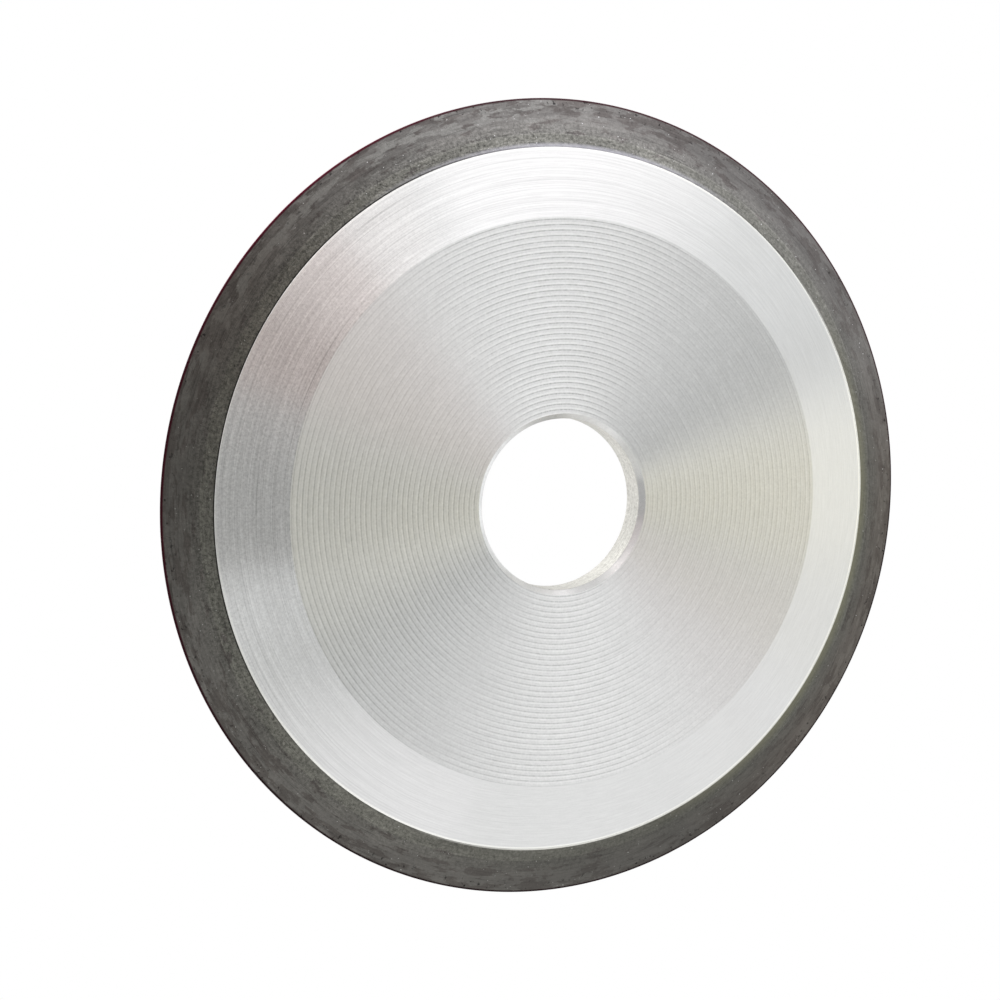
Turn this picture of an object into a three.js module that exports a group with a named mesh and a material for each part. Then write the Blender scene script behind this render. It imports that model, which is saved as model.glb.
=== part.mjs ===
// Diamond grinding wheel with a one-sided taper, in millimetres.
// The wheel stands upright and spins about +Y. Its front, the tapered side with the hub face, looks
// along -Y and its flat back along +Y. The origin is the middle of the bore, halfway through the hub.
import * as THREE from 'three';

// Driving dimensions
const WHEEL_DIAMETER = 150;
const THICKNESS = 7;
const BORE_DIAMETER = 32;
const BORE_CHAMFER = 1;          // 45 degree break at both mouths of the bore
const HUB_FACE_DIAMETER = 106.4; // flat clamping face on the front
const CORE_DIAMETER = 132;
const BOND_DIAMETER = 137;
const CORE_DROP = 3.67;          // how far the front taper has fallen back at the core's edge
const RIM_LAND = 0.5;            // width of the thin edge at the full diameter
const CORE_EDGE_BREAK = 0.15;    // small break on the core's front edge, beside the bond layer
const KEY_DEPTH = 0.8;           // groove round the core's edge that holds the pressed ring
const KEY_WIDTH = 1.2;           // width of that groove at its mouth
const KEY_FLARE = 0.25;          // how much wider the groove is on each side at its floor
const SEGMENTS = 144;

// Heights along Y and radii that follow from them
const FRONT = -THICKNESS / 2;
const BACK = THICKNESS / 2;
const BORE_RADIUS = BORE_DIAMETER / 2;
const HUB_FACE_RADIUS = HUB_FACE_DIAMETER / 2;
const CORE_RADIUS = CORE_DIAMETER / 2;
const BOND_RADIUS = BOND_DIAMETER / 2;
const WHEEL_RADIUS = WHEEL_DIAMETER / 2;
const CORE_EDGE = FRONT + CORE_DROP;
const RIM_EDGE = BACK - RIM_LAND;
const CORE_SLOPE = CORE_DROP / (CORE_RADIUS - HUB_FACE_RADIUS);
const RIM_SLOPE = (RIM_EDGE - CORE_EDGE) / (WHEEL_RADIUS - CORE_RADIUS);
const BOND_EDGE = CORE_EDGE + RIM_SLOPE * (BOND_RADIUS - CORE_RADIUS);
const KEY_MIDDLE = (CORE_EDGE + BACK) / 2;

const MATERIALS = {
  aluminium: new THREE.MeshStandardMaterial({ color: 0xd3d6d5, roughness: 0.35, metalness: 1 }),
  bond: new THREE.MeshStandardMaterial({ color: 0x63665f, roughness: 0.85, metalness: 0 }),
  abrasive: new THREE.MeshStandardMaterial({ color: 0x59534f, roughness: 0.7, metalness: 0 }),
};

// A ring turned about Y. The section is a loop of [radius, y] points, front to back on the outside.
function turned(name, section, material) {
  const loop = [...section, section[0]].map(([radius, y]) => new THREE.Vector2(radius, y));
  const mesh = new THREE.Mesh(new THREE.LatheGeometry(loop, SEGMENTS), material);
  mesh.name = name;
  return mesh;
}

// The dovetailed key groove, from its front lip to its back lip, shared by the core and the ring in it.
function keyGroove() {
  const floor = CORE_RADIUS - KEY_DEPTH;
  return [
    [CORE_RADIUS, KEY_MIDDLE - KEY_WIDTH / 2],
    [floor, KEY_MIDDLE - KEY_WIDTH / 2 - KEY_FLARE],
    [floor, KEY_MIDDLE + KEY_WIDTH / 2 + KEY_FLARE],
    [CORE_RADIUS, KEY_MIDDLE + KEY_WIDTH / 2],
  ];
}

function core() {
  return turned('core', [
    [BORE_RADIUS, FRONT + BORE_CHAMFER],
    [BORE_RADIUS + BORE_CHAMFER, FRONT],
    [HUB_FACE_RADIUS, FRONT],
    [CORE_RADIUS - CORE_EDGE_BREAK, CORE_EDGE - CORE_SLOPE * CORE_EDGE_BREAK],
    [CORE_RADIUS, CORE_EDGE + CORE_EDGE_BREAK],
    ...keyGroove(),
    [CORE_RADIUS, BACK],
    [BORE_RADIUS + BORE_CHAMFER, BACK],
    [BORE_RADIUS, BACK - BORE_CHAMFER],
  ], MATERIALS.aluminium);
}

function bondLayer() {
  return turned('bond_layer', [
    [CORE_RADIUS, CORE_EDGE],
    [BOND_RADIUS, BOND_EDGE],
    [BOND_RADIUS, BACK],
    [CORE_RADIUS, BACK],
    ...keyGroove().reverse(),
  ], MATERIALS.bond);
}

function diamondRim() {
  return turned('diamond_rim', [
    [BOND_RADIUS, BOND_EDGE],
    [WHEEL_RADIUS, RIM_EDGE],
    [WHEEL_RADIUS, BACK],
    [BOND_RADIUS, BACK],
  ], MATERIALS.abrasive);
}

const wheel = new THREE.Group();
wheel.add(core(), bondLayer(), diamondRim());

export default wheel;
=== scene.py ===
"""Looks of a diamond grinding wheel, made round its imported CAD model.

Metres, in the CAD's frame: the wheel stands upright and spins about +Y, its tapered front looks along
-Y and its flat back along +Y. Angles run from +X (3 o'clock seen from the front) towards +Z (12 o'clock).
"""

import math

import bmesh
import bpy
import numpy as np
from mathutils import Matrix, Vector, noise


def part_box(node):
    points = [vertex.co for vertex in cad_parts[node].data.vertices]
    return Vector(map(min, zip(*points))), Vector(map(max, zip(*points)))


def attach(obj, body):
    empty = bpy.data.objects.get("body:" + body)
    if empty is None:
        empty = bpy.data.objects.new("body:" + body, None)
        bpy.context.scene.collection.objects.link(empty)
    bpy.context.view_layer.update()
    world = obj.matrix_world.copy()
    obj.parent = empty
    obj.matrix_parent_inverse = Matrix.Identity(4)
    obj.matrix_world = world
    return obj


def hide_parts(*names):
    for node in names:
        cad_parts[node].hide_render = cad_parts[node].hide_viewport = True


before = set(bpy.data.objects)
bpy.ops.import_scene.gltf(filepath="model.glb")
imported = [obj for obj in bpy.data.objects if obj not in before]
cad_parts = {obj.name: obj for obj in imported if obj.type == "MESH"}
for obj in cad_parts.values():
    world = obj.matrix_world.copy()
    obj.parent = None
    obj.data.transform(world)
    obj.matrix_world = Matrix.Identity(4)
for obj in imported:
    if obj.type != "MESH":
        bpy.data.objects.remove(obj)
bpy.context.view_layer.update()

MM = 0.001

# ---------------------------------------------------------------- sizes
WHEEL_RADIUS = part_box("diamond_rim")[1].x
BOND_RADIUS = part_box("bond_layer")[1].x
CORE_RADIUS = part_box("core")[1].x
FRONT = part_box("core")[0].y
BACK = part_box("core")[1].y
CORE_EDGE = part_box("bond_layer")[0].y     # where the front taper meets the joint
BOND_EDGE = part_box("diamond_rim")[0].y    # where it meets the diamond ring
BORE_RADIUS = 16 * MM
BORE_CHAMFER = 1 * MM
BORE_EDGE = BORE_RADIUS + BORE_CHAMFER    # where the hub face begins
HUB_FACE_RADIUS = 53.2 * MM
RIM_EDGE = BACK - 0.5 * MM                # front corner of the thin land at the full diameter
CORE_EDGE_BREAK = 0.08 * MM               # sharper than the CAD's, for a crisp line at the joint
KEY_DEPTH = 0.8 * MM                      # dovetailed groove in the joint, hidden inside the wheel
KEY_HALF_WIDTH = 0.6 * MM
KEY_FLARE = 0.25 * MM
KEY_MIDDLE = (CORE_EDGE + BACK) / 2
METAL_SHARP_ANGLE = math.radians(35)      # edges that turn further than this look sharp
RESIN_SHARP_ANGLE = math.radians(50)


# ---------------------------------------------------------------- mesh tools
def outline(corners, closed=True):
    """Rows of [radius, y, stretch] along a section.

    Each corner is (radius, y, ease, step): ease is how far a small round starts from the corner, and step
    is the row spacing of the stretch that leaves it. stretch numbers the stretch that a row lies on.
    """
    points = [np.array(corner[:2]) for corner in corners]
    rows = []
    for i, (_, _, ease, step) in enumerate(corners):
        here, before = points[i], points[i - 1]
        last = i == len(corners) - 1
        if last and not closed:
            rows.append([*here, i])
            break
        after = points[(i + 1) % len(points)]
        back = (before - here) / np.linalg.norm(before - here)
        ahead = (after - here) / np.linalg.norm(after - here)
        if ease:
            rows += [[*(here + ease * back), i], [*(here + ease / 4 * (back + ahead)), i]]
        start = here + ease * ahead
        end = after - corners[(i + 1) % len(points)][2] * ahead
        count = max(1, round(np.linalg.norm(end - start) / step))
        rows += [[*(start + (end - start) * k / count), i] for k in range(count)]
    return np.array(rows)


def turned(radius, height, angle):
    """Points at a radius and an angle round the Y axis."""
    radius, height, angle = np.broadcast_arrays(radius, height, angle)
    return np.stack([radius * np.cos(angle), height, radius * np.sin(angle)], axis=-1)


def ring_faces(rows, columns, closed):
    """Quads of a grid that closes round the wheel, and along its section too if closed."""
    row, column = np.meshgrid(np.arange(rows if closed else rows - 1), np.arange(columns), indexing="ij")
    beside, below = (column + 1) % columns, (row + 1) % rows
    here, under = row * columns, below * columns
    quads = [here + column, here + beside, under + beside, under + column]
    return np.stack(quads, axis=-1).reshape(-1, 4).tolist()


def add_piece(name, points, faces, material, sharp_angle, creases=()):
    """A closed mesh that rides on the wheel's one body and stands for the CAD node it is named after.

    Points that coincide are joined. A crease is a radius whose edges stay sharp whatever their angle.
    """
    mesh = bpy.data.meshes.new(name)
    mesh.from_pydata(points.reshape(-1, 3).tolist(), [], faces)
    shaped = bmesh.new()
    shaped.from_mesh(mesh)
    bmesh.ops.remove_doubles(shaped, verts=shaped.verts, dist=0.001 * MM)
    bmesh.ops.recalc_face_normals(shaped, faces=shaped.faces)
    shaped.to_mesh(mesh)
    shaped.free()
    mesh.shade_smooth()
    mesh.set_sharp_from_angle(angle=sharp_angle)
    places = np.empty(len(mesh.vertices) * 3)
    mesh.vertices.foreach_get("co", places)
    radius = np.hypot(places[0::3], places[2::3])
    ends = np.empty(len(mesh.edges) * 2, dtype=int)
    mesh.edges.foreach_get("vertices", ends)
    for crease in creases:
        on_ring = np.abs(radius[ends.reshape(-1, 2)] - crease).max(axis=1) < 0.005 * MM
        for i in np.flatnonzero(on_ring):
            mesh.edges[i].use_edge_sharp = True
    mesh.materials.append(material)
    piece = bpy.data.objects.new(name + "_finish", mesh)
    bpy.context.scene.collection.objects.link(piece)
    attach(piece, "root")
    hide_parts(name)
    return piece


# ---------------------------------------------------------------- node tools
def new_material(name):
    """A material with its Principled shader, ready for nodes."""
    material = bpy.data.materials.new(name)
    material.use_nodes = True
    return material, material.node_tree, material.node_tree.nodes["Principled BSDF"]


def add_node(tree, kind, inputs=None, **settings):
    """A node with its settings, and its inputs linked or set."""
    made = tree.nodes.new(kind)
    for key, value in settings.items():
        setattr(made, key, value)
    for key, value in (inputs or {}).items():
        if isinstance(value, bpy.types.NodeSocket):
            tree.links.new(value, made.inputs[key])
        else:
            made.inputs[key].default_value = value
    return made


def math_node(tree, operation, *values):
    """The result of one operation on numbers or sockets."""
    inputs = dict(enumerate(values))
    return add_node(tree, "ShaderNodeMath", inputs, operation=operation).outputs[0]


def ring_place(tree):
    """The distance from the spin axis, the height along it and the unit direction from it."""
    place = add_node(tree, "ShaderNodeTexCoord").outputs["Object"]
    flat = add_node(tree, "ShaderNodeVectorMath", {0: place, 1: (1, 0, 1)}, operation="MULTIPLY").outputs[0]
    distance = add_node(tree, "ShaderNodeVectorMath", {0: flat}, operation="LENGTH").outputs["Value"]
    direction = add_node(tree, "ShaderNodeVectorMath", {0: flat}, operation="NORMALIZE").outputs[0]
    height = add_node(tree, "ShaderNodeSeparateXYZ", {0: place}).outputs["Y"]
    return distance, height, direction


def turned_towards(tree, angle):
    """How nearly the shaded point lies in a direction from the centre: 1 there, -1 on the far side."""
    _, _, direction = ring_place(tree)
    a = math.radians(angle)
    aim = {0: direction, 1: (math.cos(a), 0, math.sin(a))}
    return add_node(tree, "ShaderNodeVectorMath", aim, operation="DOT_PRODUCT").outputs["Value"]


def ring_noise(tree, per_mm, round_scale, detail=2.0, seed=0.0, roughness=0.5):
    """Noise that changes fast across the radius and slowly round the wheel, as turning marks do."""
    distance, height, direction = ring_place(tree)
    depth = math_node(tree, "MULTIPLY", height, per_mm / MM)
    across = math_node(tree, "MULTIPLY_ADD", distance, per_mm / MM, depth)
    round_it = add_node(tree, "ShaderNodeVectorMath", {0: direction, "Scale": round_scale}, operation="SCALE")
    parts = add_node(tree, "ShaderNodeSeparateXYZ", {0: round_it.outputs[0]}).outputs
    place = add_node(tree, "ShaderNodeCombineXYZ", {"X": parts["X"], "Y": across, "Z": parts["Z"]}).outputs[0]
    return add_node(
        tree, "ShaderNodeTexNoise",
        {"Vector": place, "W": seed, "Detail": detail, "Scale": 1.0, "Roughness": roughness},
        noise_dimensions="4D",
    ).outputs["Fac"]


def grain_noise(tree, per_mm, detail=2.0, seed=0.0, roughness=0.5):
    """Noise that is alike in all directions."""
    place = add_node(tree, "ShaderNodeTexCoord").outputs["Object"]
    return add_node(
        tree, "ShaderNodeTexNoise",
        {"Vector": place, "W": seed, "Detail": detail, "Scale": per_mm / MM, "Roughness": roughness},
        noise_dimensions="4D",
    ).outputs["Fac"]


def ranged(tree, value, low, high, from_low=0.3, from_high=0.7):
    """A value between from_low and from_high carried to another range, and held at its ends."""
    return add_node(
        tree, "ShaderNodeMapRange",
        {"Value": value, "From Min": from_low, "From Max": from_high, "To Min": low, "To Max": high},
    ).outputs[0]


def sector(tree, angle, low, high, start, full):
    """A value that goes from low to high while turned_towards the angle goes from start to full."""
    return ranged(tree, turned_towards(tree, angle), low, high, start, full)


def mixed(tree, share, first, second):
    """One colour where share is 0 and the other where it is 1."""
    return add_node(
        tree, "ShaderNodeMix", {"Factor": share, 6: first, 7: second}, data_type="RGBA"
    ).outputs[2]


def scaled(tree, colour, factor):
    """A colour times a number."""
    return add_node(
        tree, "ShaderNodeVectorMath", {0: colour, "Scale": factor}, operation="SCALE"
    ).outputs[0]


def tinted(tree, colour, tint):
    """A colour times another."""
    return add_node(tree, "ShaderNodeVectorMath", {0: colour, 1: tint}, operation="MULTIPLY").outputs[0]


def comb_round_the_wheel(tree, shader, amount):
    """Stretch the shader's gloss across marks that run round the wheel."""
    shader.inputs["Anisotropic"].default_value = amount
    shader.inputs["Anisotropic Rotation"].default_value = 0.25
    tangent = add_node(tree, "ShaderNodeTangent", direction_type="RADIAL", axis="Y")
    tree.links.new(tangent.outputs[0], shader.inputs["Tangent"])


# ---------------------------------------------------------------- core
CORE_COLUMNS = 200
SPIRAL_PITCH = 1 * MM
SPIRAL_START = 17.35 * MM
GROOVE_DEPTH = 0.009 * MM
LAND_SAG = 0.004 * MM
# Points across one pitch: how far out as shares of the pitch, and how deep as shares of the groove's depth
GROOVE_SHARES = (0, 0.06, 0.12, 0.19, 0.26, 0.34)
GROOVE_DEPTHS = (0, 0.5, 0.95, 1, 0.55, 0)
LAND_SHARES = (0.5, 0.67, 0.84)
TURNING_DEPTH = 0.003 * MM                # waves that the tool leaves on the taper
TURNING_PER_MM = 6
GROOVE_SHADE_LINE = (0.12, 0.18)                  # middle and half width of the painted shade line and the painted highlight line along the cut, in the pitch
GROOVE_HIGHLIGHT_LINE = (0.42, 0.24)
# the side where the taper's streaks are strongest and its painted edge highlight faintest
STREAKY_AND_UNLIT_TAPER_SIDE = 145                     # sides of the wheel, in degrees, matched to one view
SPECKLED_SIDE = 165
# the side where the painted shade and highlight lines of the hub face are strongest
GROOVE_LIGHT_SIDE = 212
# the side where the bore's wall has a painted highlight and its chamfer painted shade
BORE_LIGHT_SIDE = -62
ALUMINIUM = (0.80, 0.805, 0.80)
EDGE_HIGHLIGHT_ALUMINIUM = (1, 1, 0.96, 1)          # painted highlight along the taper's edge


def bored_metal(name, dark, light, rough, smooth, lower_right_light):
    """Metal that was bored rather than faced: drier, and alike in all directions.

    The last argument is the factor by which its colour changes at the lower right: below 1 it paints shade
    there, above 1 a highlight.
    """
    material, tree, shader = new_material(name)
    specks = grain_noise(tree, per_mm=1.8, detail=3, roughness=0.8)
    marks = ring_noise(tree, per_mm=3.2, round_scale=3, detail=3)
    colour = mixed(tree, ranged(tree, specks, 0, 1), dark, light)
    # Painted light at the lower right, by the last argument
    colour = scaled(tree, colour, sector(tree, BORE_LIGHT_SIDE, 1, lower_right_light, 0.75, 0.97))
    tree.links.new(scaled(tree, colour, ranged(tree, marks, 0.84, 1.08)), shader.inputs["Base Color"])
    tree.links.new(ranged(tree, specks, rough, smooth), shader.inputs["Roughness"])
    shader.inputs["Metallic"].default_value = 1
    return material


def groove_light_shares(tree):
    """How strong the painted shade line and the painted highlight line along the hub face's cut are at the
    shaded point, from 0 to 1.
    """
    distance, height, direction = ring_place(tree)
    parts = add_node(tree, "ShaderNodeSeparateXYZ", {0: direction}).outputs
    turn = math_node(tree, "DIVIDE", math_node(tree, "ARCTAN2", parts["Z"], parts["X"]), 2 * math.pi)
    pitches = math_node(tree, "MULTIPLY_ADD", distance, 1 / SPIRAL_PITCH, -SPIRAL_START / SPIRAL_PITCH)
    phase = math_node(tree, "FRACT", math_node(tree, "SUBTRACT", pitches, turn))
    on_hub = math_node(tree, "LESS_THAN", distance, HUB_FACE_RADIUS)
    on_front = math_node(tree, "LESS_THAN", height, FRONT + 2 * GROOVE_DEPTH)
    here = math_node(tree, "MULTIPLY", on_hub, on_front)
    # The painted lines are strongest where the cut runs level or upright, above all at the top, and at the
    # lower left
    level = math_node(tree, "MAXIMUM", parts["Z"], math_node(tree, "MULTIPLY", parts["Z"], -0.93))
    upright = math_node(tree, "MULTIPLY", math_node(tree, "ABSOLUTE", parts["X"]), 0.87)
    lower_left = math_node(tree, "MULTIPLY", turned_towards(tree, GROOVE_LIGHT_SIDE), 0.91)
    straight = math_node(tree, "MAXIMUM", math_node(tree, "MAXIMUM", level, upright), lower_left)
    strength = math_node(tree, "MULTIPLY", ranged(tree, straight, 0.22, 1.1, 0.8, 1), here)
    shares = []
    for middle, half_width in (GROOVE_SHADE_LINE, GROOVE_HIGHLIGHT_LINE):
        off = math_node(tree, "ABSOLUTE", math_node(tree, "SUBTRACT", phase, middle))
        share = ranged(tree, off, 1, 0, half_width * 0.2, half_width)
        shares.append(math_node(tree, "MULTIPLY", share, strength))
    return shares


def core_material():
    """Turned aluminium: streaked taper, hub face with painted shade and highlight lines along its cut, and a
    painted highlight along the edge beside the joint.
    """
    material, tree, shader = new_material("turned_aluminium")
    distance, _, _ = ring_place(tree)
    lines = ring_noise(tree, per_mm=3.0, round_scale=0.8, detail=4, roughness=0.8)
    cuts = ring_noise(tree, per_mm=2.6, round_scale=1.6, detail=2, seed=11)
    dashes = ring_noise(tree, per_mm=3, round_scale=16, detail=3, seed=3)
    specks = grain_noise(tree, per_mm=2.2, detail=2, roughness=0.7)
    # The hub's wide lands are cleaner than the taper, and the taper's streaks and cuts are faintest at its
    # lower right
    on_taper = ranged(tree, distance, 0, 1, HUB_FACE_RADIUS - 0.1 * MM, HUB_FACE_RADIUS)
    marks_by_side = sector(tree, STREAKY_AND_UNLIT_TAPER_SIDE, 0.18, 1.3, -0.5, 1)
    strength = ranged(tree, on_taper, 0.3, marks_by_side, 0, 1)
    streak = math_node(tree, "MULTIPLY", ranged(tree, lines, -0.13, 0.13, 0.36, 0.64), strength)
    cut = math_node(tree, "MULTIPLY", ranged(tree, cuts, 0, -0.14, 0.62, 0.68), strength)
    shade = math_node(tree, "ADD", math_node(tree, "ADD", streak, cut), 1)
    colour = scaled(tree, ALUMINIUM, shade)
    colour = scaled(tree, colour, ranged(tree, dashes, 0.96, 1.04))
    speckle_strength = ranged(tree, on_taper, 0.4, sector(tree, SPECKLED_SIDE, 0.12, 1.1, 0.5, 1), 0, 1)
    speckling = math_node(tree, "MULTIPLY", ranged(tree, specks, -0.16, 0.16), speckle_strength)
    colour = scaled(tree, colour, math_node(tree, "ADD", speckling, 1))
    # Painted shade and highlight lines along the facing cut; chatter of the tool breaks up the shade lines
    dark, bright = groove_light_shares(tree)
    chatter = ranged(tree, ring_noise(tree, per_mm=0.8, round_scale=60, detail=2, seed=7), 0.35, 1)
    groove_shade = math_node(tree, "MULTIPLY", dark, chatter)
    colour = scaled(tree, colour, ranged(tree, groove_shade, 1, 0.58, 0, 1))
    colour = scaled(tree, colour, ranged(tree, bright, 1, 1.14, 0, 1))
    # Painted highlight along the taper's edge beside the joint, faint at the upper left
    edge = ranged(tree, distance, 0, 1, CORE_RADIUS - 0.46 * MM, CORE_RADIUS - 0.32 * MM)
    edge = math_node(tree, "MULTIPLY", edge, sector(tree, STREAKY_AND_UNLIT_TAPER_SIDE, 1, 0.35, 0.3, 0.9))
    colour = mixed(tree, edge, colour, EDGE_HIGHLIGHT_ALUMINIUM)
    tree.links.new(colour, shader.inputs["Base Color"])
    tree.links.new(ranged(tree, lines, 0.275, 0.305), shader.inputs["Roughness"])
    shader.inputs["Metallic"].default_value = 1
    comb_round_the_wheel(tree, shader, 0.985)
    return material


def spiral_depth(radius, angle):
    """How far the hub face lies behind its highest plane: the groove, and the slightly hollow land."""
    share = ((radius - SPIRAL_START) / SPIRAL_PITCH - angle / (2 * math.pi)) % 1
    across_land = np.clip((share - GROOVE_SHARES[-1]) / (1 - GROOVE_SHARES[-1]), 0, 1)
    groove = np.interp(share, GROOVE_SHARES, GROOVE_DEPTHS, right=0)
    return GROOVE_DEPTH * groove + LAND_SAG * 4 * across_land * (1 - across_land)


def spiral_face(angle):
    """Points and faces of the hub face: one long strip wound outwards, cut off at the bore and the edge."""
    shares = np.array(GROOVE_SHARES + LAND_SHARES)
    turns = np.arange(-2, math.ceil((HUB_FACE_RADIUS - SPIRAL_START) / SPIRAL_PITCH) + 1)
    across = (turns[:, None] + shares).ravel()
    radius = SPIRAL_START + SPIRAL_PITCH * (across[:, None] + angle / (2 * math.pi))
    radius = np.clip(radius, BORE_EDGE, HUB_FACE_RADIUS)
    points = turned(radius, FRONT + spiral_depth(radius, angle), angle)
    index = np.arange(points.shape[0] * points.shape[1]).reshape(points.shape[:2])
    within = np.stack([index[:-1, :-1], index[:-1, 1:], index[1:, 1:], index[1:, :-1]], axis=-1)
    # After one turn the strip meets itself one pitch further out
    rows = np.arange(len(across) - len(shares) - 1)
    lap = rows + len(shares)
    across_lap = np.stack([index[rows, -1], index[lap, 0], index[lap + 1, 0], index[rows + 1, -1]], axis=-1)
    return points.reshape(-1, 3), within.reshape(-1, 4).tolist() + across_lap.tolist()


def make_core():
    """The aluminium body: everything but the hub face is turned from one outline."""
    wide, fine = 1.6 * MM, 0.13 * MM
    ease = 0.05 * MM
    slope = (CORE_EDGE - FRONT) / (CORE_RADIUS - HUB_FACE_RADIUS)
    key_floor = CORE_RADIUS - KEY_DEPTH
    rows = outline([
        (HUB_FACE_RADIUS, FRONT, 0, fine),
        (CORE_RADIUS - CORE_EDGE_BREAK, CORE_EDGE - slope * CORE_EDGE_BREAK, 0.03 * MM, wide),
        (CORE_RADIUS, CORE_EDGE + CORE_EDGE_BREAK, 0, wide),
        (CORE_RADIUS, KEY_MIDDLE - KEY_HALF_WIDTH, 0, wide),
        (key_floor, KEY_MIDDLE - KEY_HALF_WIDTH - KEY_FLARE, 0, wide),
        (key_floor, KEY_MIDDLE + KEY_HALF_WIDTH + KEY_FLARE, 0, wide),
        (CORE_RADIUS, KEY_MIDDLE + KEY_HALF_WIDTH, 0, wide),
        (CORE_RADIUS, BACK, 0, wide),
        (BORE_EDGE, BACK, ease, 0.3 * MM),
        (BORE_RADIUS, BACK - BORE_CHAMFER, ease, wide),
        (BORE_RADIUS, FRONT + BORE_CHAMFER, ease, 0.3 * MM),
        (BORE_EDGE, FRONT, 0, wide),
    ], closed=False)
    angle = np.arange(CORE_COLUMNS) * 2 * math.pi / CORE_COLUMNS
    height = rows[:, 1:2] + 0 * angle
    for i in np.flatnonzero((rows[:, 2] == 0) & (rows[:, 0] > HUB_FACE_RADIUS)):
        for j, a in enumerate(angle):
            place = Vector((rows[i, 0] * TURNING_PER_MM / MM, 1.5 * math.cos(a), 1.5 * math.sin(a)))
            height[i, j] += TURNING_DEPTH * noise.noise(place)
    for i in (0, -1):
        height[i] += spiral_depth(rows[i, 0], angle)
    hub_points, hub_faces = spiral_face(angle)
    first = len(hub_points)
    body_faces = np.array(ring_faces(len(rows), CORE_COLUMNS, closed=False)) + first
    points = np.concatenate([hub_points, turned(rows[:, :1], height, angle).reshape(-1, 3)])
    core = add_piece(
        "core", points, hub_faces + body_faces.tolist(), core_material(),
        METAL_SHARP_ANGLE, creases=(HUB_FACE_RADIUS, BORE_EDGE),
    )
    finish_bore(core)


def finish_bore(core):
    """Give the bore and the breaks at its mouths metals of their own."""
    for bored in (
        # Painted highlight on the wall at the lower right (1.06), painted shade on the chamfer there (0.78)
        bored_metal("bored_aluminium", (0.58, 0.57, 0.53, 1), (0.92, 0.91, 0.86, 1), 0.60, 0.44, 1.06),
        bored_metal("chamfered_aluminium", (0.70, 0.70, 0.69, 1), (0.84, 0.84, 0.83, 1), 0.32, 0.26, 0.78),
    ):
        core.data.materials.append(bored)
    for face in core.data.polygons:
        distance = math.hypot(face.center.x, face.center.z)
        if distance < BORE_EDGE - 0.02 * MM:
            face.material_index = 1 if distance < BORE_RADIUS + 0.03 * MM else 2


# ---------------------------------------------------------------- abrasive
PITTED_EDGE = WHEEL_RADIUS - 1.6 * MM     # dark pits lie outside this radius
DARK_EDGE = WHEEL_RADIUS - 0.35 * MM      # the dark corner of the diamond ring
RING_MIDDLE = BOND_RADIUS + 1.5 * MM
JOINT_STEP = 0.06 * MM                    # how deep the bond is sunk beside the core
FACES = (0, 2)                            # the stretches of a ring's outline that are its front and its back
# Sides of the wheel, as angles in degrees, where the reference photograph shows a tone of its own. They fit
# its one view: some are light rather than wear, and the olive and the red are probably lens fringing.
MOST_MARKED_SIDE = 150
# sides painted paler, where more light falls
PALE_SIDES = ((218, 1.28, 0.3, 0.95), (-10, 1.10, 0.7, 1))
# painted shade on the outer part of the ring at this side
SHADED_OUTER_SIDE = 55
# painted sheen on the middle of the ring near the top
SHEEN_SIDE = 82
SMUDGED_SIDE = 128
SMUDGED_RIGHT = -15
BROWN_SIDE = -22
OLIVE_SIDE = -22
# painted glare of the bright aluminium, beside the joint at the top
JOINT_GLARE_SIDE = 90
RED_CORNER_SIDE = 160
# painted shadow in the joint, strongest at this side
JOINT_SHADOW_SIDE = 158
# painted highlight of the core's lit edge, over the joint at the lower right
EDGE_HIGHLIGHT_SIDE = -38
# Tones on the resin. The glare beside the joint, the shadow in the joint and the highlight over it are painted
# light
SMUDGE_TONE = (0.142, 0.140, 0.128, 1)
BROWN_TINT = (1.05, 0.975, 0.94, 1)
OLIVE_TONE = (0.185, 0.182, 0.126, 1)
# painted glare of the bright aluminium
JOINT_GLARE_TONE = (0.30, 0.30, 0.32, 1)
GRAIN_TONE = (0.45, 0.45, 0.43, 1)
CORNER_TONE = (0.026, 0.012, 0.013, 1)
RED_CORNER_TONE = (0.048, 0.004, 0.010, 1)
# painted shadow in the joint
JOINT_SHADOW_TONE = (0.015, 0.015, 0.013, 1)
# painted highlight of the core's lit edge
EDGE_HIGHLIGHT_TONE = (0.85, 0.85, 0.80, 1)


def grain(point, size):
    """Fractal noise from about -1 to 1 with features of the given size, at a point in metres."""
    return noise.fractal(Vector(point) / size, 0.7, 2.1, 3)


def roughen(points, rows, inner, outer, depth, size):
    """Press grain into the front and back faces between two radii. Its peaks stay up to 2 micrometres proud."""
    for i in np.flatnonzero(np.isin(rows[:, 2], FACES) & (rows[:, 0] > inner) & (rows[:, 0] < outer)):
        inward = 1 if rows[i, 1] < (FRONT + BACK) / 2 and rows[i, 2] == FACES[0] else -1
        for point in points[i]:
            point[1] += inward * depth * (0.5 + 0.5 * grain(point, size))


def stains(tree, distance, marks_by_side):
    """Stained patches, more of them towards the outer edge and on the upper half."""
    patches = ring_noise(tree, per_mm=0.45, round_scale=12, detail=7, seed=5, roughness=0.68)
    outward = ranged(tree, distance, -0.10, 0.05, CORE_RADIUS, WHEEL_RADIUS)
    stained = ranged(tree, math_node(tree, "ADD", patches, outward), 0, 1, 0.505, 0.545)
    return math_node(tree, "MULTIPLY", stained, ranged(tree, marks_by_side, 0.7, 1, 0.55, 1))


def pits(tree, distance):
    """Dark pits near the outer edge."""
    pores = grain_noise(tree, per_mm=1.1, detail=3, seed=4, roughness=0.6)
    near_edge = ranged(tree, distance, 0.2, 1, PITTED_EDGE - 1 * MM, PITTED_EDGE + 0.4 * MM)
    return math_node(tree, "MULTIPLY", ranged(tree, pores, 0, 1, 0.61, 0.66), near_edge)


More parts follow.
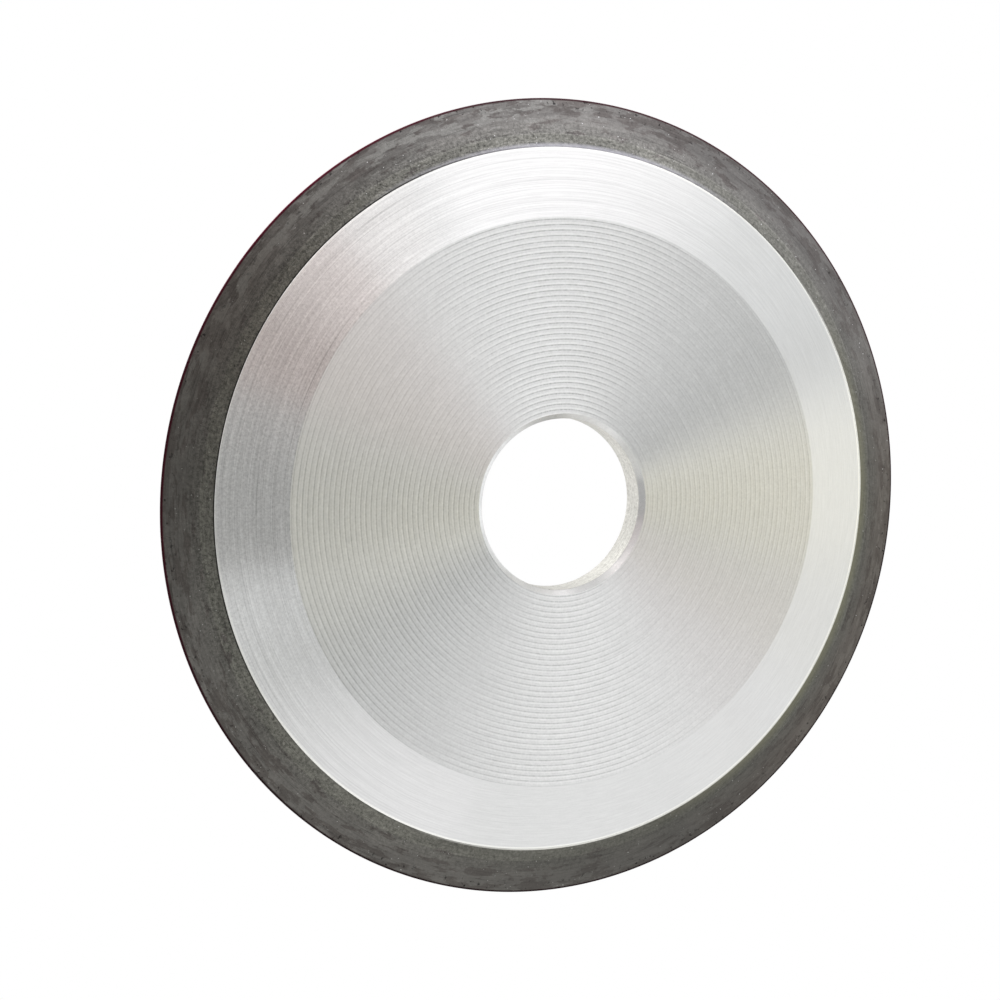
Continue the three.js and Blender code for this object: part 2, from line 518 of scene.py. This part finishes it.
def shade_sides(tree, colour, distance, out_share):
    """Painted light round the ring: paler at two sides, painted shade on its outer part at another, and a
    painted sheen making its middle brightest near the top.
    """
    for angle, factor, start, full in PALE_SIDES:
        colour = scaled(tree, colour, sector(tree, angle, 1, factor, start, full))
    outer_shade = math_node(tree, "MULTIPLY", out_share, sector(tree, SHADED_OUTER_SIDE, 0, 1, 0.86, 0.98))
    colour = scaled(tree, colour, ranged(tree, outer_shade, 1, 0.8, 0, 1))
    off_middle = math_node(tree, "ABSOLUTE", math_node(tree, "SUBTRACT", distance, RING_MIDDLE))
    middle = ranged(tree, off_middle, 1, 0, 1 * MM, 2 * MM)
    painted_sheen = math_node(tree, "MULTIPLY", middle, sector(tree, SHEEN_SIDE, 0, 1, 0.84, 0.98))
    return scaled(tree, colour, ranged(tree, painted_sheen, 1, 1.22, 0, 1))


def smudge(tree, colour, out_share):
    """Pale smudges at the upper left and the right, and a browner tint at the lower right."""
    smudges = ring_noise(tree, per_mm=0.5, round_scale=14, detail=6, seed=8, roughness=0.62)
    on_right = math_node(tree, "MULTIPLY", turned_towards(tree, SMUDGED_RIGHT), 0.8)
    where = math_node(tree, "MAXIMUM", on_right, turned_towards(tree, SMUDGED_SIDE))
    where = math_node(tree, "MULTIPLY", ranged(tree, where, 0, 0.9, 0.6, 0.85), out_share)
    smudged = math_node(tree, "MULTIPLY", ranged(tree, smudges, 0, 1, 0.52, 0.55), where)
    colour = mixed(tree, smudged, colour, SMUDGE_TONE)
    browned = math_node(tree, "MULTIPLY", out_share, sector(tree, BROWN_SIDE, 0, 1, 0.7, 0.95))
    return tinted(tree, colour, mixed(tree, browned, (1, 1, 1, 1), BROWN_TINT))


def pale_joint(tree, colour, distance):
    """Beside the joint the bond is olive at the lower right, and carries a painted glare of the bright
    aluminium at the top.
    """
    olive = ranged(tree, distance, 1, 0, CORE_RADIUS + 0.1 * MM, CORE_RADIUS + 2.2 * MM)
    olive = math_node(tree, "MULTIPLY", olive, sector(tree, OLIVE_SIDE, 0, 1, 0.6, 0.95))
    colour = mixed(tree, olive, colour, OLIVE_TONE)
    beside = ranged(tree, distance, 1, 0, CORE_RADIUS + 0.1 * MM, CORE_RADIUS + 0.9 * MM)
    joint_glare = math_node(tree, "MULTIPLY", beside, sector(tree, JOINT_GLARE_SIDE, 0, 0.8, 0.8, 1))
    return mixed(tree, joint_glare, colour, JOINT_GLARE_TONE)


def joint_shadow_share(tree, distance):
    """How much painted shadow shows in the joint, where the bond is sunk beside the core, most at the left."""
    joint = ranged(tree, distance, 1, 0, CORE_RADIUS + 0.1 * MM, CORE_RADIUS + 0.3 * MM)
    return math_node(tree, "MULTIPLY", joint, sector(tree, JOINT_SHADOW_SIDE, 0.1, 1, 0.45, 0.8))


def mark_edges(tree, colour, distance, corner, joint):
    """The dark outer corner, the painted shadow in the joint, and a painted highlight of the core's lit edge
    over the joint at the lower right.
    """
    reddened = sector(tree, RED_CORNER_SIDE, 0, 1, 0.5, 0.9)
    colour = mixed(tree, corner, colour, mixed(tree, reddened, CORNER_TONE, RED_CORNER_TONE))
    # Painted shadow in the joint
    colour = mixed(tree, joint, colour, JOINT_SHADOW_TONE)
    # Painted highlight of the core's lit edge, laid over the resin beside the joint
    joint_highlight = ranged(tree, distance, 1, 0, CORE_RADIUS + 0.14 * MM, CORE_RADIUS + 0.3 * MM)
    joint_highlight = math_node(tree, "MULTIPLY", joint_highlight, sector(tree, EDGE_HIGHLIGHT_SIDE, 0, 1, 0.2, 0.6))
    return mixed(tree, joint_highlight, colour, EDGE_HIGHLIGHT_TONE)


def abrasive_material(name, inner_tone, outer_tone, stain):
    """Ground resin full of grit: coarse and speckled at the joint, smeared and stained further out."""
    material, tree, shader = new_material(name)
    distance, _, _ = ring_place(tree)
    marks_by_side = sector(tree, MOST_MARKED_SIDE, 0.55, 1.5, -0.8, 0.8)
    out_share = ranged(tree, distance, 0, 1, CORE_RADIUS + 2 * MM, WHEEL_RADIUS - 3 * MM)
    # Grains fade out across the diamond ring
    coarse = ranged(tree, distance, 1, 0.3, BOND_RADIUS - 0.5 * MM, BOND_RADIUS + 3 * MM)
    grains = grain_noise(tree, per_mm=1.8, detail=3, roughness=0.85)
    strength = math_node(tree, "MULTIPLY", coarse, marks_by_side)
    swing = math_node(tree, "MULTIPLY", ranged(tree, grains, -0.5, 0.5), strength)
    smears = ring_noise(tree, per_mm=1.6, round_scale=14, detail=4, seed=1, roughness=0.65)
    drift = ring_noise(tree, per_mm=0.25, round_scale=5, detail=3, seed=2)
    scratches = ring_noise(tree, per_mm=5, round_scale=9, detail=2, seed=9)
    scratched = ranged(tree, scratches, 0, 1, 0.58, 0.68)
    sparks = grain_noise(tree, per_mm=3.4, detail=0, seed=6)
    bright = ranged(tree, sparks, 0, 1, 0.81, 0.84)
    stained = stains(tree, distance, marks_by_side)
    pitted = pits(tree, distance)
    corner = ranged(tree, distance, 0, 1, DARK_EDGE - 0.1 * MM, DARK_EDGE + 0.1 * MM)
    joint = joint_shadow_share(tree, distance)

    colour = mixed(tree, stained, mixed(tree, out_share, inner_tone, outer_tone), stain)
    smeared = math_node(tree, "MULTIPLY_ADD", ranged(tree, smears, -0.17, 0.17), marks_by_side, 1)
    colour = scaled(tree, colour, smeared)
    colour = scaled(tree, colour, ranged(tree, drift, 0.85, 1.15))
    colour = shade_sides(tree, colour, distance, out_share)
    colour = smudge(tree, colour, out_share)
    colour = scaled(tree, colour, math_node(tree, "ADD", swing, 1))
    colour = pale_joint(tree, colour, distance)
    colour = scaled(tree, colour, ranged(tree, scratched, 1, 0.7, 0, 1))
    colour = scaled(tree, colour, ranged(tree, pitted, 1, 0.3, 0, 1))
    colour = mixed(tree, bright, colour, GRAIN_TONE)
    tree.links.new(mark_edges(tree, colour, distance, corner, joint), shader.inputs["Base Color"])

    dry = math_node(tree, "MULTIPLY_ADD", stained, 0.08, math_node(tree, "MULTIPLY", pitted, 0.3))
    grainy = math_node(tree, "MULTIPLY", ranged(tree, grains, 0.14, -0.02), coarse)
    rough = math_node(tree, "ADD", math_node(tree, "ADD", dry, grainy), ranged(tree, smears, 0.28, 0.34))
    edge_rough = math_node(tree, "MULTIPLY", math_node(tree, "MAXIMUM", corner, joint), 0.4)
    tree.links.new(math_node(tree, "ADD", rough, edge_rough), shader.inputs["Roughness"])
    shader.inputs["Metallic"].default_value = 0.82
    comb_round_the_wheel(tree, shader, 0.6)
    holes = math_node(tree, "MULTIPLY_ADD", scratched, 0.3, pitted)
    relief = math_node(tree, "SUBTRACT", swing, holes)
    bump = add_node(tree, "ShaderNodeBump", {"Height": relief, "Strength": 0.5, "Distance": 0.02 * MM})
    tree.links.new(bump.outputs[0], shader.inputs["Normal"])
    return material


# ---------------------------------------------------------------- bond layer
BOND_COLUMNS = 1500
BOND_GRAIN = 0.03 * MM


def make_bond_layer():
    """The plain resin ring between the core and the diamond ring, sunk a hair at the joint."""
    step = 0.22 * MM
    wide = 1.5 * MM
    key_floor = CORE_RADIUS - KEY_DEPTH
    rows = outline([
        (CORE_RADIUS, CORE_EDGE + JOINT_STEP, 0, step),
        (BOND_RADIUS, BOND_EDGE, 0, wide),
        (BOND_RADIUS, BACK, 0, step),
        (CORE_RADIUS, BACK - JOINT_STEP, 0, wide),
        (CORE_RADIUS, KEY_MIDDLE + KEY_HALF_WIDTH, 0, wide),
        (key_floor, KEY_MIDDLE + KEY_HALF_WIDTH + KEY_FLARE, 0, wide),
        (key_floor, KEY_MIDDLE - KEY_HALF_WIDTH - KEY_FLARE, 0, wide),
        (CORE_RADIUS, KEY_MIDDLE - KEY_HALF_WIDTH, 0, wide),
    ])
    angle = np.arange(BOND_COLUMNS) * 2 * math.pi / BOND_COLUMNS
    points = turned(rows[:, :1], rows[:, 1:2], angle)
    roughen(points, rows, CORE_RADIUS, BOND_RADIUS, BOND_GRAIN, 0.5 * MM)
    faces = ring_faces(len(rows), BOND_COLUMNS, closed=True)
    material = abrasive_material(
        "bond_resin", (0.113, 0.112, 0.097, 1), (0.105, 0.100, 0.090, 1), (0.088, 0.082, 0.075, 1))
    add_piece("bond_layer", points, faces, material, RESIN_SHARP_ANGLE)


# ---------------------------------------------------------------- diamond rim
RIM_COLUMNS = 1500
RIM_GRAIN = 0.012 * MM


def make_diamond_rim():
    """The ring that grinds, with its thin land at the full diameter."""
    step = 0.25 * MM
    ease = 0.08 * MM
    rows = outline([
        (BOND_RADIUS, BOND_EDGE, 0, step),
        (WHEEL_RADIUS, RIM_EDGE, ease, step),
        (WHEEL_RADIUS, BACK, ease, step),
        (BOND_RADIUS, BACK, 0, 1 * MM),
    ])
    angle = np.arange(RIM_COLUMNS) * 2 * math.pi / RIM_COLUMNS
    points = turned(rows[:, :1], rows[:, 1:2], angle)
    roughen(points, rows, BOND_RADIUS, WHEEL_RADIUS - 0.1 * MM, RIM_GRAIN, 0.6 * MM)
    faces = ring_faces(len(rows), RIM_COLUMNS, closed=True)
    material = abrasive_material(
        "diamond_abrasive", (0.094, 0.092, 0.082, 1), (0.100, 0.096, 0.088, 1), (0.073, 0.067, 0.061, 1))
    add_piece("diamond_rim", points, faces, material, RESIN_SHARP_ANGLE)


# ---------------------------------------------------------------- stage
def sky_direction(azimuth, elevation):
    """The unit vector towards a direction in degrees. Azimuth 0 is the front, and grows towards +X."""
    a, e = math.radians(azimuth), math.radians(elevation)
    return Vector((math.sin(a) * math.cos(e), -math.cos(a) * math.cos(e), math.sin(e)))


# The studio: what the turned metal mirrors, beside the plain white surroundings. Each card fills a patch of
# sky between corners given as (azimuth, elevation) in degrees, and a later card hides an earlier one.
CARD_DISTANCE = 2.0
CARD_SPACING = 0.02
CARD_CELLS = 12
FLOOR_SIZE = 60
LAMP_FROM = (110, 68)                     # azimuth and elevation
LAMP_ENERGY = 165
LAMP_SPREAD = 8


def patch(azimuth, elevation, half_width, half_height):
    """The corners of an upright card about a middle direction."""
    return [
        (azimuth + side * half_width, elevation + end * half_height)
        for side, end in ((-1, -1), (1, -1), (1, 1), (-1, 1))
    ]


CARDS = {
    "key_softbox": (patch(40, 49, 35, 20), (1.65, 1.62, 1.65)),
    "dim_room_left": (patch(-18, 7, 24, 21), (0.43, 0.42, 0.41)),
    "bright_left": ([(-52, 35), (-1, 35), (-1, 59), (-58, 59)], (1.8, 1.7, 1.7)),
    "warm_wall": ([(14, 5), (10, -1), (-28, 13), (-12, 36)], (0.50, 0.39, 0.36)),
    "side_softbox": (patch(93, 4, 22, 37), (1.2, 1.23, 1.25)),
    "low_fill": (patch(2, -41, 15, 28), (1.12, 1.11, 1.12)),
    "warm_patch": ([(33, -8), (48, -12), (48, 1), (33, -4)], (1.65, 1.52, 1.02)),
    "warm_floor": ([(33, -12), (48, -20), (48, -12), (33, -8)], (1.05, 1.0, 0.82)),
    "camera_stand": ([(-9, -24), (21, -24), (20, -2), (-9, 0)], (0.17, 0.18, 0.17)),
    "dark_bar": ([(15, 0), (53, 2), (53, 6.4), (15, 8)], (0.19, 0.19, 0.18)),
    "left_curtain": (patch(-66, 26, 9, 18), (0.55, 0.47, 0.47)),
    "left_doorway": (patch(-66, -10, 10, 18), (0.35, 0.35, 0.35)),
    "left_floor": (patch(-66, -45, 25, 15), (0.75, 0.75, 0.73)),
    "table_edge": (patch(108, -62, 22, 16), (0.25, 0.25, 0.25)),
    "back_softbox": (patch(212, 48, 30, 20), (1.5, 1.5, 1.5)),
    "back_room": (patch(150, -4, 24, 22), (0.4, 0.4, 0.4)),
}


def make_card(name, order, corners, light):
    """A glowing or dark card, curved round the wheel, that shows only in reflections."""
    distance = CARD_DISTANCE - CARD_SPACING * order
    shares = np.linspace(0, 1, CARD_CELLS + 1)
    low_left, low_right, high_right, high_left = np.array(corners, dtype=float)
    points = []
    for up in shares:
        for along in shares:
            low = low_left + (low_right - low_left) * along
            high = high_left + (high_right - high_left) * along
            points.append(sky_direction(*(low + (high - low) * up)) * distance)
    row = CARD_CELLS + 1
    starts = [i * row + j for i in range(CARD_CELLS) for j in range(CARD_CELLS)]
    mesh = bpy.data.meshes.new(name)
    mesh.from_pydata(points, [], [(k, k + 1, k + row + 1, k + row) for k in starts])
    material, tree, shader = new_material(name)
    tree.nodes.remove(shader)
    glow = add_node(tree, "ShaderNodeEmission", {"Color": (*light, 1)})
    tree.links.new(glow.outputs[0], tree.nodes["Material Output"].inputs["Surface"])
    mesh.materials.append(material)
    card = bpy.data.objects.new(name, mesh)
    bpy.context.scene.collection.objects.link(card)
    card.visible_camera = False
    card.visible_diffuse = False
    card.visible_shadow = False


def make_top_light():
    """A soft lamp high on the right that lights what is dull, and isn't mirrored."""
    lamp = bpy.data.lights.new("top_light", "SUN")
    lamp.energy = LAMP_ENERGY
    lamp.color = (0.93, 0.92, 1.04)
    lamp.angle = math.radians(LAMP_SPREAD)
    top_light = bpy.data.objects.new("top_light", lamp)
    bpy.context.scene.collection.objects.link(top_light)
    top_light.rotation_mode = "QUATERNION"
    top_light.rotation_quaternion = sky_direction(*LAMP_FROM).to_track_quat("Z", "Y")
    top_light.visible_glossy = False


def make_stage():
    """White floor and surroundings, the cards and the lamp."""
    bpy.ops.mesh.primitive_plane_add(size=FLOOR_SIZE, location=(0, 0, -WHEEL_RADIUS))
    floor = bpy.context.object
    floor.name = "floor"
    material, _, shader = new_material("pale_floor")
    shader.inputs["Base Color"].default_value = (0, 0, 0, 1)
    shader.inputs["Roughness"].default_value = 1
    shader.inputs["Specular IOR Level"].default_value = 0
    shader.inputs["Emission Color"].default_value = (1, 1, 1, 1)
    shader.inputs["Emission Strength"].default_value = 1
    floor.data.materials.append(material)
    floor.visible_glossy = False
    floor.visible_diffuse = False
    for order, (name, (corners, light)) in enumerate(CARDS.items()):
        make_card(name, order, corners, light)
    make_top_light()
    world = bpy.data.worlds.new("studio")
    world.use_nodes = True
    world.node_tree.nodes["Background"].inputs["Color"].default_value = (1, 1, 1, 1)
    world.node_tree.nodes["Background"].inputs["Strength"].default_value = 1.0
    bpy.context.scene.world = world


CAMERA_FROM = (-24.38, 6.43)              # where it stands, as azimuth and elevation from the hub face
CAMERA_SIDE = (-22.86, 6.32)              # the direction that it looks back from
CAMERA_DISTANCE = 0.4471
CAMERA_LENS = 86.58


def make_camera():
    """Near the wheel and to its left, a little above the axis."""
    camera = bpy.data.objects.new("camera", bpy.data.cameras.new("camera"))
    bpy.context.scene.collection.objects.link(camera)
    camera.location = sky_direction(*CAMERA_FROM) * CAMERA_DISTANCE + Vector((0, FRONT, 0))
    camera.rotation_mode = "QUATERNION"
    camera.rotation_quaternion = (-sky_direction(*CAMERA_SIDE)).to_track_quat("-Z", "Y")
    camera.data.lens = CAMERA_LENS
    camera.data.clip_start = 0.01
    bpy.context.scene.camera = camera


make_core()
make_bond_layer()
make_diamond_rim()
make_stage()
make_camera()
bpy.context.scene.view_settings.view_transform = "Standard"
